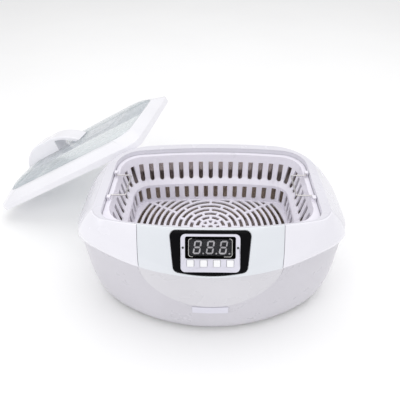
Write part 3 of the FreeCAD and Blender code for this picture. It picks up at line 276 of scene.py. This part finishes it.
def soften(thing, width):
    """Welds the faces' shared corners, rounds sharp edges by a width and shades the rest smooth."""
    weld = thing.modifiers.new("weld", "WELD")
    weld.merge_threshold = WELD_REACH
    if width:
        bevel = thing.modifiers.new("edge_round", "BEVEL")
        bevel.width = width
        bevel.segments = EDGE_SEGMENTS
        bevel.limit_method = "ANGLE"
        bevel.angle_limit = SMOOTH_ANGLE
        bevel.use_clamp_overlap = True
    split = thing.modifiers.new("hard_edges", "EDGE_SPLIT")
    split.split_angle = SMOOTH_ANGLE
    split.use_edge_sharp = False
    even = thing.modifiers.new("even_normals", "WEIGHTED_NORMAL")
    even.mode = "FACE_AREA_WITH_ANGLE"
    thing.data.shade_smooth()


# Mouldings whose edges are seen close up; the others keep the CAD's edges.
CRISP_MOULDINGS = ("centre_panel", "visor_left", "visor_right", "chin_panel", "display_bezel",
                   "control_frame", "nameplate", "lid_handle")

for name, thing in NODES.items():
    finish_with(thing, SLOT_OF[name])
    soften(thing, EDGE_ROUND if name in CRISP_MOULDINGS else 0.0)


# ---------------------------------------------------------------- print on the display window

PRINT_HALF = Vector((22.4 * MM, 9.4 * MM))
PRINT_CORNER = 2.6 * MM
PRINT_LINE = 0.34 * MM
PRINT_OUT = 0.79 * MM   # from the window's middle to just over its face
CORNER_STEPS = 8
BRACKETS = (   # side, where its top and its bottom line end
    (-1, 19.0 * MM, 18.0 * MM),
    (1, 19.5 * MM, 14.0 * MM),
)


def bracket(side, ends_top, ends_bottom):
    """One side of the printed outline: out along the top, round two corners, back along the bottom."""
    half_x, half_y = PRINT_HALF
    points = [Vector((side * ends_top, half_y))]
    for turn, sign in ((math.pi / 2, 1), (0.0, -1)):
        for step in range(CORNER_STEPS + 1):
            angle = turn - step * math.pi / 2 / CORNER_STEPS
            points.append(Vector((side * (half_x - PRINT_CORNER + PRINT_CORNER * math.cos(angle)),
                                  sign * (half_y - PRINT_CORNER) + PRINT_CORNER * math.sin(angle))))
    points.append(Vector((side * ends_bottom, -half_y)))
    return points


def make_window_print():
    face = WINDOW_CENTRE + PANEL_OUT * PRINT_OUT
    made = bmesh.new()
    for side in BRACKETS:
        points = bracket(*side)
        rows = []
        for index, point in enumerate(points):
            along = points[min(index + 1, len(points) - 1)] - points[max(index - 1, 0)]
            across = Vector((-along.y, along.x)).normalized() * PRINT_LINE / 2
            rows.append([made.verts.new(face + ALONG_X * flat.x + PANEL_UP * flat.y)
                         for flat in (point - across, point + across)])
        for first, second in zip(rows, rows[1:]):
            made.faces.new((first[0], second[0], second[1], first[1]))
    bmesh.ops.recalc_face_normals(made, faces=made.faces)
    mesh = bpy.data.meshes.new("window_print")
    made.to_mesh(mesh)
    made.free()
    lines = bpy.data.objects.new("window_print", mesh)
    bpy.context.scene.collection.objects.link(lines)
    finish_with(lines, "digit_grey")
    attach(lines, "housing")


make_window_print()


# ---------------------------------------------------------------- stage, light and camera

FLOOR_SIZE = 8.0
FLOOR_DROP = 0.4 * MM   # keeps the feet's undersides clear of the floor's plane


def make_floor():
    bpy.ops.mesh.primitive_plane_add(size=FLOOR_SIZE, location=(0, 0, -FLOOR_DROP))
    floor = bpy.context.object
    floor.name = "floor"
    made = Nodes("floor_white")
    made.link(made.blend(made.noise(3.0), (0.965, 0.965, 0.97), (0.98, 0.98, 0.985)),
              made.shader.inputs["Base Color"])
    made.set(Roughness=0.9)
    floor.data.materials.append(made.material)


AIM = Vector((0, 0, 0.1))
WORLD_STRENGTH = 0.76
SOFT_LIGHTS = (   # name, size, watts, place
    ("key_overhead", (1.6, 1.2), 7.0, (0.1, 0.35, 1.5)),
    ("side_left", (0.5, 0.9), 2.6, (-1.1, -0.75, 0.75)),
    ("side_right", (0.7, 0.9), 1.5, (1.2, -0.4, 0.9)),
    ("front_fill", (1.2, 0.8), 3.0, (0.0, -1.3, 1.35)),
)


def soft_light(name, size, power, place):
    lamp = bpy.data.lights.new(name, "AREA")
    lamp.shape = "RECTANGLE"
    lamp.size, lamp.size_y = size
    lamp.energy = power
    holder = bpy.data.objects.new(name, lamp)
    bpy.context.scene.collection.objects.link(holder)
    holder.location = place
    holder.rotation_euler = (AIM - Vector(place)).to_track_quat("-Z", "Y").to_euler()


def make_lights():
    for light in SOFT_LIGHTS:
        soft_light(*light)
    world = bpy.data.worlds.new("studio")
    bpy.context.scene.world = world
    world.use_nodes = True
    background = world.node_tree.nodes["Background"]
    background.inputs["Color"].default_value = (1.0, 1.0, 1.0, 1.0)
    background.inputs["Strength"].default_value = WORLD_STRENGTH


# Fitted to the slots of the basket and the edge of the opening in the photo.
CAMERA_PLACE = Vector((0.34, -355.5, 434.2)) * MM
PITCH, YAW, ROLL = math.radians(40.45), math.radians(2.15), math.radians(1.175)
FOCAL_SHARE = 0.95   # focal length over the picture's width
SENSOR = 36.0


def make_camera():
    ahead = Vector((-math.sin(YAW) * math.cos(PITCH), math.cos(YAW) * math.cos(PITCH), -math.sin(PITCH)))
    level = Vector((math.cos(YAW), math.sin(YAW), 0))
    down = ahead.cross(level)
    right = level * math.cos(ROLL) + down * math.sin(ROLL)
    up = level * math.sin(ROLL) - down * math.cos(ROLL)
    camera = bpy.data.cameras.new("camera")
    camera.sensor_width = SENSOR
    camera.lens = SENSOR * FOCAL_SHARE
    holder = bpy.data.objects.new("camera", camera)
    bpy.context.scene.collection.objects.link(holder)
    turn = Matrix((right, up, -ahead)).transposed().to_4x4()
    holder.matrix_world = Matrix.Translation(CAMERA_PLACE) @ turn
    bpy.context.scene.camera = holder


make_floor()
make_lights()
make_camera()
bpy.context.scene.view_settings.view_transform = "Standard"
